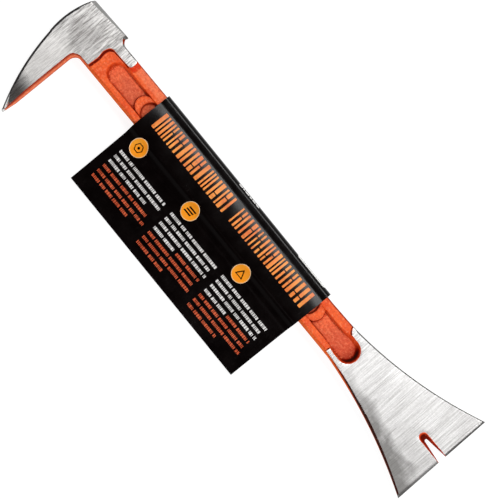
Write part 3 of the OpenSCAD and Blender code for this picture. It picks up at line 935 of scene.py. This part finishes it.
def plan_bar():
    plan = Plan()
    plan.line(outline, True)
    # parallel lines up the draft and over the rounding
    normal = normals(side, False)
    face, painted, _ = face_height(side + normal * 0.9)
    wall_inset = (face - MID) / WALL
    radius = edge_radius(side + normal * 0.9, painted)
    run = ROUND_RUN * radius
    insets = [wall_inset * 0.13, wall_inset * 0.4, wall_inset * 0.75,
              wall_inset - ROUND_LAP * run]
    insets += [wall_inset + run - radius * math.sin(math.radians(a)) for a in (62, 38, 16, 0)]
    pick = (within(side[:, 0], -2, 12) & within(side[:, 1], -57, -10)
            & (dist(side, back_curve) > 0.4))
    insets.append(wall_inset + run + np.where(pick, 0.24, 0.45))
    for inset in insets:
        line = side + normal * inset[:, None]
        # drop points that a tight inside corner pushes across to another edge
        plan.kept_runs(line, dist(line, side) > inset - 0.03)
    for curve in (head_edge, head_foot, blade_edge, blade_foot):
        plan.line(curve)
    for part in (0.25, 0.5, 0.75):
        for edge, foot, count in ((head_edge, head_foot, 70), (blade_edge, blade_foot, 50)):
            start = edge[np.linspace(0, len(edge) - 1, count).astype(int)]
            end = foot[np.linspace(0, len(foot) - 1, count).astype(int)]
            plan.fill(start + (end - start) * part, 0.12)
    for part in (0, 0.12, 0.28, 0.45, 0.62, 0.8, 1.0):
        plan.line(pocket_rim + (pocket_floor - pocket_rim) * part, True)
    # the band's round ends
    for band in (band_outer, band_inner):
        normal = normals(band, True)
        for shift in (-0.4, -0.15, 0.1, 0.4):
            line = band + normal * shift
            plan.kept_runs(line, (np.abs(line[:, 1] + 0.9) < 5.6)
                           & ((line[:, 0] < 60) | (line[:, 0] > 170)))
    for part in (0, 0.33, 0.66):
        plan.line(groove + (slot - groove) * part)
    # straight cuts across the ground faces: poll bevel, tip facet, cutting edge
    along = np.array([-POLL_OUT[1], POLL_OUT[0]])
    plan.straight(POLL_POINT - along * 1.2, POLL_POINT - along * 26.2, 1.0)
    along = np.array([-TIP_OUT[1], TIP_OUT[0]])
    plan.straight(TIP_POINT - along * 0.8, TIP_POINT + along * 10.6, 0.6)
    plan.straight((281.0, -29.6), (281.0, -2.7), 1.2)
    plan.straight((281.0, 3.3), (281.0, 29.2), 1.2)
    # loose points, fine in the rough pocket: x and y range, pitch, area, clearance
    for box, pitch, area, clear in (((17, 216, -9, 7), 0.85, pocket_floor, 0.45),
                                    ((-17, 14, -58, 16), 1.6, outline, 0.8),
                                    ((199, 283, -31, 31), 2.2, outline, 1.0),
                                    ((12, 201, -11, 12), 1.8, outline, 0.7)):
        grid = hexgrid(*box, pitch)
        plan.fill(grid[inside(grid, area)], clear)
    return plan


def bar_slots(points):
    """Material slot of the face centred on each plan point."""
    _, info = heights(points)
    x, y = points[:, 0], points[:, 1]
    # insets counted from the top of the draft and from the end of the rounding
    past_wall = info["inset"] - info["wall_inset"]
    past_round = info["inset"] - (info["wall_inset"] + info["run"])
    radius = info["radius"]
    on_side = past_wall < 0.01
    bare = info["painted"] < 0.03
    ground_face = bare & (info["sink"] <= 0) & ~info["in_groove"]

    # dark slot: dark steel on the head's back and striking sides and the blade's +Y side; on the
    # bare rounded top edges of the tongue and the claw's +Y side it is painted shade
    dark = on_side & (((x < 12.75) & ~((x > -1.4) & (y < -9))) | ((x > 199.5) & (y > 7)))
    dark &= ~(within(x, 12.2, 20) & (y < 14.3))
    dark |= on_side & within(x, 10, 14) & (y > 14.3)
    dark |= ((radius > 0.25) & bare & (past_wall < radius * 0.84)
             & (((x < 0.5) & (y > -48)) | ((x > 203) & (y > 5)) | (within(x, 14, 26) & (y > 10))))
    back = (radius > 0.7) & bare
    dark |= back & (past_round < 0.02) & (y <= -48) & (y > -57) & (x < 0.2)
    dark |= back & (past_round < 0.43) & (x < 0.5) & within(y, -44, 6)
    # coat slot on thin lines along the edges of the ground faces, where the coat's painted shade
    # draws dark shadow lines
    lines = (bare & within(x, 206, 281.2) & (y < -6) & ~on_side
             & (past_round < 0.43 * ease((x - 220) / 30)))
    lines |= (bare & within(x, -2, 12) & within(y, -56.5, -11) & ~on_side
              & (past_round < 0.20) & (dist(points, back_curve) > info["inset"] + 0.3))

    slots = np.full(len(points), PAINT)
    slots[ground_face & (x < 110)] = HEAD
    slots[ground_face & (x > 110)] = CLAW
    slots[(slots == HEAD) & ((points - POLL_POINT) @ POLL_OUT > 0) & (y > 5)] = BEVEL
    slots[(slots == HEAD) & info["facet"]] = FACET
    slots[on_side] = PAINT
    slots[dark] = DARK
    slots[lines] = PAINT
    slots[on_side & (x > 281.2)] = CLAW
    slots[on_side & (y < -56.6)] = HEAD
    return slots


def build_bar():
    """Front half raised from the plan and mirrored below the middle plane."""
    plan_verts, tris = plan_bar().solve(outline, 1e-7)
    z, info = heights(plan_verts)
    count = len(plan_verts)
    border = np.zeros(count, bool)
    border[rim_edges(tris).ravel()] = True
    z = np.where(border, MID, np.maximum(z, MID + 0.02))
    # the border is shared by both halves
    free = np.where(~border)[0]
    back_index = np.arange(count)
    back_index[free] = count + np.arange(len(free))
    verts = np.vstack([np.c_[plan_verts, z], np.c_[plan_verts[free], 2 * MID - z[free]]])
    faces = np.vstack([tris, back_index[tris][:, ::-1]])
    slots = bar_slots(plan_verts[tris].mean(axis=1))
    obj = make_mesh("pry_bar_forging", verts, faces, BAR_MATERIALS,
                    np.concatenate([slots, slots]), sharp=34)
    for name in ("crease", "pit", "wall"):
        values = np.concatenate([info[name], info[name][free]])
        layer = obj.data.attributes.new(name, "FLOAT", "POINT")
        layer.data.foreach_set("value", np.asarray(values, dtype=np.float32))
    weighted = obj.modifiers.new("weighted", "WEIGHTED_NORMAL")
    weighted.mode = "FACE_AREA"
    weighted.keep_sharp = True
    weighted.weight = 60
    return obj


bar = build_bar()
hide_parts("forged_bar")
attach(bar, "bar")

# ------------------------------------------------------------------ card sleeve's section
TURN = math.radians(0.82)         # the sleeve sits slightly askew on the bar
CARD_HALF = 0.45 / 2              # half the card's thickness
X0, X1 = 49.4, 180.0              # the sleeve's ends
FLAP_SLOPE = math.radians(10.5)
PLY_OFFSET = 0.05 + CARD_HALF     # flap's middle line to the middle of each ply


def to_row(x, y, z):
    """Sleeve's own frame to the row's frame."""
    return np.c_[x * math.cos(TURN) + y * math.sin(TURN),
                 -x * math.sin(TURN) + y * math.cos(TURN), z]


def flap_point(along, offset):
    """(y, z) on the flap, measured from its root; it runs out towards negative `along`."""
    return (-17.3 + along * math.cos(FLAP_SLOPE) - offset * math.sin(FLAP_SLOPE),
            7.6 + along * math.sin(FLAP_SLOPE) + offset * math.cos(FLAP_SLOPE))


# section from the flap's free edge, over the front, round the +Y side and back underneath
FLAP_STATIONS = (-35.4, -30, -25, -20, -15, -10, -6, -3.5, -1.2)
WRAP = [            # (y, z) round the shank
    (-16.6, 8.2), (-15.2, 9.05), (-13.9, 10.15), (-12.9, 11.35), (-12.0, 12.55),
    (-11.1, 13.25), (-9.9, 13.6), (-8, 13.8), (-5, 14.02), (-1.5, 14.12), (2, 14.05),
    (5, 13.82), (7.3, 13.55), (8.1, 13.54), (9.2, 13.66), (10.3, 13.76), (11.2, 13.66),
    (11.95, 13.3), (12.5, 12.7), (12.88, 11.7), (12.98, 10.4), (12.98, 8), (12.98, 5),
    (12.98, 2.6), (12.85, 1.6), (12.45, 0.95), (11.7, 0.7), (10.4, 0.655), (5, 0.655),
    (0, 0.655), (-5, 0.655), (-8.8, 0.66), (-10.2, 0.8), (-11.0, 1.4), (-11.8, 2.5),
    (-12.9, 4.25), (-14.2, 5.8), (-15.6, 6.8)]
section = smooth_curve([flap_point(a, PLY_OFFSET) for a in FLAP_STATIONS] + WRAP
                       + [flap_point(a, -PLY_OFFSET) for a in FLAP_STATIONS[::-1]], 0.4)
section_length = np.concatenate([[0], np.cumsum(np.linalg.norm(np.diff(section, axis=0),
                                                               axis=1))])
section_normal = normals(section, False)
section_normal /= np.linalg.norm(section_normal, axis=1, keepdims=True)
SECTION_END = section_length[-1]
side_index = int(np.argmax(section[:, 0]))      # where the side panel is reached


def front_length(y):
    """Length along the section at a y on the flap's front ply or the front panel."""
    return np.interp(y, section[:side_index, 0], section_length[:side_index])


def card_wave(x, y):
    """The flap isn't quite flat: a slow wave, and curls at its outer corners."""
    wave = noise(x, y, 34, 0.7) * 0.22 + noise(x, y, 15, 1.9) * 0.06
    curl = (0.9 * ease((x - 160) / 24) * ease((-y - 38) / 16)
            + 0.45 * ease((62 - x) / 14) * ease((-y - 40) / 14))
    return ease((-y - 17) / 10) * (wave + curl)


def place_card(x, length, offset):
    """Point at x and a length along the section, `offset` outwards from the card's middle."""
    y, z = (np.interp(length, section_length, section[:, k])
            + offset * np.interp(length, section_length, section_normal[:, k]) for k in (0, 1))
    front = (length < front_length(8.0)) & (y > -16)
    swell = noise(x, y, 26, 3.0) * 0.10 * ease((y + 12) / 5) * ease((8 - y) / 3)
    return to_row(x, y, z + card_wave(x, y) + np.where(front, swell, 0))


def section_rows():
    """Lengths where the section needs a row of points: every 5 degrees or 2.4 mm."""
    out, last, turn = [0.0], 0, 0.0
    legs = np.diff(section, axis=0)
    angles = np.unwrap(np.arctan2(legs[:, 1], legs[:, 0]))
    for i in range(1, len(angles)):
        turn += abs(angles[i] - angles[i - 1])
        if turn > math.radians(5) or section_length[i] - section_length[last] > 2.4:
            out.append(section_length[i])
            last, turn = i, 0.0
    if SECTION_END - out[-1] < 0.6:
        out[-1] = SECTION_END
    else:
        out.append(SECTION_END)
    return out


def print_slots(centres, prints):
    """Slot of the topmost print over each point, 0 where there is none."""
    out = np.zeros(len(centres), int)
    for poly, slot_index in prints:
        low, high = poly.min(0), poly.max(0)
        near = np.where(within(centres[:, 0], low[0], high[0])
                        & within(centres[:, 1], low[1], high[1]))[0]
        if len(near):
            out[near[inside(centres[near], poly)]] = slot_index
    return out


def thin_sheet(name, domain, rows, prints, materials, inner_slot, edge_slot,
               outer, inner, pitch, x_range):
    """A sheet that follows the section, laid out in x and length along the section."""
    plan = Plan()
    plan.line(domain, True)
    for row in rows:
        plan.line([(x_range[0], row), (x_range[1], row)])
    for poly, _ in prints:
        plan.line(poly, True)
    xs = np.arange(x_range[0] + pitch, x_range[1] - pitch * 0.4, pitch)
    plan.fill([(x, row) for row in rows for x in xs], 0.5)
    verts, tris = plan.solve(domain, 1e-8)
    slots = print_slots(verts[tris].mean(axis=1), prints)
    return sheet_mesh(name, place_card(*verts.T, outer), place_card(*verts.T, inner), tris,
                      materials, slots, inner_slot, edge_slot, sharp=50)


# ------------------------------------------------------------------ card print
# plain generic blocks, bars and shapes in the sleeve's own x and y, no lettering:
# (polygon, slot), later ones on top


def rect(x0, y0, x1, y1, cut=0.0):
    """Rectangle, its corners cut off by `cut` if given."""
    if cut <= 0:
        return [(x0, y0), (x1, y0), (x1, y1), (x0, y1)]
    return [(x0 + cut, y0), (x1 - cut, y0), (x1, y0 + cut), (x1, y1 - cut),
            (x1 - cut, y1), (x0 + cut, y1), (x0, y1 - cut), (x0, y0 + cut)]


def heading(x0, x1, y0, y1, count, seed):
    """A row of plain upright bars, some split in two: a heading's weight."""
    rand = np.random.RandomState(seed)
    widths = [(1.2, 1.6, 2.4)[rand.randint(3)] for _ in range(count)]
    gaps = [(0.95, 1.5)[rand.randint(2)] for _ in range(count - 1)]
    fit = (x1 - x0 - sum(gaps)) / sum(widths)
    x, height = x0, y1 - y0
    out = []
    for i, (width, gap) in enumerate(zip(widths, gaps + [0])):
        width *= fit
        split = (0.0, 0.0, 0.34, 0.0, 0.62)[rand.randint(5)] if 0 < i < count - 1 else 0.0
        if split:
            out.append((rect(x, y0, x + width, y0 + height * split - 0.3, 0.22), ORANGE))
            out.append((rect(x, y0 + height * split + 0.3, x + width, y1, 0.22), ORANGE))
        else:
            out.append((rect(x, y0, x + width, y1, 0.22), ORANGE))
        x += width + gap
    return out


def text_row(rand, x0, x1, y, ink, fill, start):
    """Groups of short bars of one height, between two shares of the column's width."""
    x = x0 + (x1 - x0) * start
    end = x0 + (x1 - x0) * fill
    out = []
    while x < end - 1.2:
        for _ in range(rand.randint(3, 10)):
            width = (0.42, 0.66, 1.1)[rand.randint(3)]
            if x + width > end:
                break
            out.append((rect(x, y - 0.82, x + width, y + 0.82), ink))
            x += width + 0.3
        x += 0.75
    return out


ROWS_Y = (-23.79, -27.39, -31.01, -34.83, -38.66, -42.28, -46.12)
# row number, ink, end and start as shares of the column's width
NARROW_BLOCK = ((0, WHITE, 0.98, 0), (1, WHITE, 1.0, 0), (2, WHITE, 0.80, 0),
                (3, RED, 0.97, 0), (4, RED, 1.0, 0), (5, RED, 0.78, 0))
FULL_BLOCK = ((0, WHITE, 1.0, 0), (1, WHITE, 0.96, 0), (2, WHITE, 0.99, 0), (3, WHITE, 0.44, 0),
              (3, RED, 0.97, 0.48), (4, RED, 0.98, 0), (5, RED, 1.0, 0))
# column's x range and its rows
COLUMNS = ((54.9, 92.4, NARROW_BLOCK),
           (96.1, 133.2, FULL_BLOCK + ((6, RED, 0.55, 0),)),
           (137.5, 174.4, FULL_BLOCK + ((6, RED, 0.62, 0),)))


def text_blocks():
    rand = np.random.RandomState(5)
    out = []
    for x0, x1, block in COLUMNS:
        for row, ink, fill, start in block:
            out += text_row(rand, x0, x1, ROWS_Y[row], ink, fill, start)
    return out


DISC_X, DISC_Y = (60.05, 101.67, 142.82), -15.69


def ring(x, y, radius, count):
    return [(x + radius * math.cos(2 * math.pi * i / count),
             y + radius * math.sin(2 * math.pi * i / count)) for i in range(count)]


def disc_shapes():
    """Rimmed discs holding a hexagon with a dot, three stacked bars, and a triangle."""
    hexagon_x, bars_x, triangle_x = DISC_X
    y = DISC_Y

    def disc(x):
        return [(ring(x, y, 5.0, 48), RIM), (ring(x, y, 4.72, 48), DISC)]

    out = disc(hexagon_x)
    for radius, ink in ((2.7, BLACK), (2.15, DISC)):
        out.append((arc((hexagon_x, y), radius, 0, 360, 6), ink))
    out.append((ring(hexagon_x, y, 0.75, 16), BLACK))
    out += disc(bars_x)
    for j in (-1, 0, 1):
        low, high = y + 1.5 * j - 0.42, y + 1.5 * j + 0.42
        out.append(([(bars_x - 2.6 + 0.5 * j, low), (bars_x + 2.2 + 0.5 * j, low),
                     (bars_x + 2.6 + 0.5 * j, high), (bars_x - 2.2 + 0.5 * j, high)], BLACK))
    out += disc(triangle_x)
    for radius, ink in ((3.0, BLACK), (1.95, DISC)):
        out.append((arc((triangle_x, y - 0.3), radius, 90, 450, 3), ink))
    return out


def card_prints():
    """All prints laid out in x and length along the section."""
    flat = (heading(55.5, 112.4, -4.0, 6.35, 22, seed=3)
            + heading(117.8, 175.1, -4.0, 6.35, 22, seed=8) + text_blocks() + disc_shapes())
    out = []
    for poly, ink in flat:
        poly = np.array(poly, float)
        out.append((np.c_[poly[:, 0], front_length(poly[:, 1])], ink))
    # a few light dashes along the corner to the side panel
    corner = front_length(12.35)
    x = 106.9
    for width in (2.6, 1.1, 3.0, 1.6, 2.3, 2.2):
        out.append((np.array(rect(x, corner - 0.5, x + width, corner + 0.45)), WHITE))
        x += width + 0.55
    return out


# ------------------------------------------------------------------ card, label and glue


def build_card():
    rows = section_rows()
    middle = rows[1:-1]
    domain = ([(x, 0.0) for x in np.linspace(X0, X1, 45)] + [(X1, row) for row in middle]
              + [(x, SECTION_END) for x in np.linspace(X1, X0, 45)]
              + [(X0, row) for row in middle[::-1]])
    return thin_sheet("card_sleeve", domain, middle, card_prints(), CARD_MATERIALS,
                      inner_slot=INSIDE, edge_slot=CUT_EDGE, outer=CARD_HALF,
                      inner=-CARD_HALF, pitch=3.2, x_range=(X0, X1))


def build_label():
    """Paper label on the side panel, its upper edge turned over the corner."""
    left, right = 153.9, 175.3
    top = front_length(12.15)
    bottom = top + 10.6
    radius = 1.1
    domain = []
    for x, row, start in ((right - radius, top + radius, -90), (right - radius, bottom - radius, 0),
                          (left + radius, bottom - radius, 90), (left + radius, top + radius, 180)):
        domain += arc((x, row), radius, start, start + 105, 7)
    # tall bars, then a row of short blocks
    prints = []
    rand = np.random.RandomState(9)
    x = left + 2.0
    while x < right - 2.4:
        width = (0.25, 0.5, 0.75)[rand.randint(3)]
        prints.append((np.array(rect(x, top + 1.0, x + width, bottom - 2.6)), 1))
        x += width + (0.3, 0.55)[rand.randint(2)]
    for i in range(5):
        x = left + 3.0 + i * 3.1
        prints.append((np.array(rect(x, bottom - 1.9, x + 2.3, bottom - 1.2)), 1))
    rows = [row for row in section_rows() if top + 0.2 < row < bottom - 0.2]
    return thin_sheet("side_label", domain, rows, prints, LABEL_MATERIALS,
                      inner_slot=0, edge_slot=0, outer=CARD_HALF + 0.11,
                      inner=CARD_HALF + 0.01, pitch=2.0, x_range=(left + 0.3, right - 0.3))


def build_glue():
    """Dried glue between the flap's plies, with the wandering outline of a spread bead."""
    mid_x, mid_along, half_x, half_along = (X0 + X1) / 2, -18.0, 61.5, 14.2
    count = 96
    edge = []
    for i in range(count):
        angle = 2 * math.pi * i / count
        cos, sin = math.cos(angle), math.sin(angle)
        square = 1 / (abs(cos) ** 6 + abs(sin) ** 6) ** (1 / 6)
        wander = 1 + 0.018 * math.sin(7 * angle) + 0.012 * math.sin(17 * angle + 1)
        edge.append((mid_x + half_x * cos * square * wander,
                     mid_along + half_along * sin * square * wander))
    plan = Plan()
    plan.line(edge, True)
    grid = hexgrid(X0, X1, -34, -3, 3.0)
    plan.fill(grid[inside(grid, edge)], 1.2)
    verts, tris = plan.solve(edge)

    def layer(offset):
        x = verts[:, 0]
        y, z = flap_point(verts[:, 1], offset)
        return to_row(x, y, z + card_wave(x, y))

    return sheet_mesh("glue_layer", layer(0.04), layer(-0.04), tris, [GLUE],
                      np.zeros(len(tris), int), inner_slot=0, edge_slot=0, sharp=40)


card = build_card()
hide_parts("sleeve_wrap", "sleeve_flap")
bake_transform(card)
label = build_label()
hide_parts("barcode_label")
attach(label, "sleeve")
glue = build_glue()
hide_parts("flap_adhesive")
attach(glue, "flap")

# ------------------------------------------------------------------ floor, light and camera


def stage_floor():
    """Pale floor that glows a little."""
    mat = Material("studio_floor")
    mat.bsdf(Base_Color=mat.mix(mat.noise(3), srgb(124, 124, 124), srgb(126, 126, 126)),
             Roughness=0.9, Specular_IOR_Level=0.1,
             Emission_Color=(1, 1, 1), Emission_Strength=0.90)
    half, z = 4000.0, -0.05
    corners = [(-half, -half, z), (half, -half, z), (half, half, z), (-half, half, z)]
    make_mesh("studio_floor", corners, [(0, 1, 2, 3)], [mat.material], smooth=False)


def area_light(name, location, target, size, power, colour=(1, 1, 1), size_y=None):
    light = bpy.data.lights.new(name, "AREA")
    light.energy = power
    light.color = colour
    light.shape = "RECTANGLE" if size_y else "SQUARE"
    light.size = size
    if size_y:
        light.size_y = size_y
    obj = bpy.data.objects.new(name, light)
    bpy.context.scene.collection.objects.link(obj)
    obj.location = location
    aim = Vector(target) - Vector(location)
    obj.rotation_euler = aim.to_track_quat("-Z", "Y").to_euler()


def studio_world():
    """Pale walls and a dim ceiling, brighter towards +Y; seen directly simply pale."""
    world = bpy.data.worlds.new("studio")
    world.use_nodes = True
    nodes = Nodes(world.node_tree)
    background = world.node_tree.nodes["Background"]
    _, y, z = nodes.xyz(nodes.coords.outputs["Generated"])
    room = nodes.times(nodes.fade(z, over=(0.45, 0.86), to=(0.58, 0.02)),
                       nodes.fade(y, over=(-0.3, 0.5), to=(0.22, 1.15)))
    seen = nodes.times(nodes.add("LightPath").outputs["Is Camera Ray"], 0.9)
    nodes.set(background.inputs["Strength"], nodes.math("MAXIMUM", seen, room))
    background.inputs["Color"].default_value = (0.98, 0.99, 1.0, 1)
    bpy.context.scene.world = world


def lights():
    """A long soft box just behind the zenith and a big soft box from the flap's side."""
    centre = (0.134, -0.009, 0.0)
    area_light("over", (0.16, 0.375, 1.03), centre, size=1.3, power=8.6, size_y=0.21)
    area_light("front", (0.80, -0.74, 0.62), centre, size=1.3, power=9.3,
               colour=(1.0, 0.995, 0.985))


def overhead_camera():
    """Near-overhead camera leaning towards the pick's side, the bar down to the right."""
    distance, tilt, roll = 0.850, math.radians(4), math.radians(50.08)
    target = np.array([0.134, -0.009, 0.007])
    back = np.array([0, -math.tan(tilt), 1.0])
    back /= np.linalg.norm(back)
    bar_axis = np.array([1.0, 0, 0])
    across = np.cross(-back, bar_axis)
    right = bar_axis * math.cos(roll) - across * math.sin(roll)
    down = bar_axis * math.sin(roll) + across * math.cos(roll)
    place = target + distance * back
    camera = bpy.data.cameras.new("camera")
    camera.sensor_width = 36
    camera.lens = 119.26
    camera.clip_start, camera.clip_end = 0.05, 20
    obj = bpy.data.objects.new("camera", camera)
    bpy.context.scene.collection.objects.link(obj)
    obj.matrix_world = Matrix([(right[i], -down[i], back[i], place[i]) for i in range(3)]
                              + [(0, 0, 0, 1)])
    bpy.context.scene.camera = obj


stage_floor()
bpy.context.scene.view_settings.view_transform = "Standard"
bpy.context.scene.view_settings.look = "None"
studio_world()
lights()
overhead_camera()
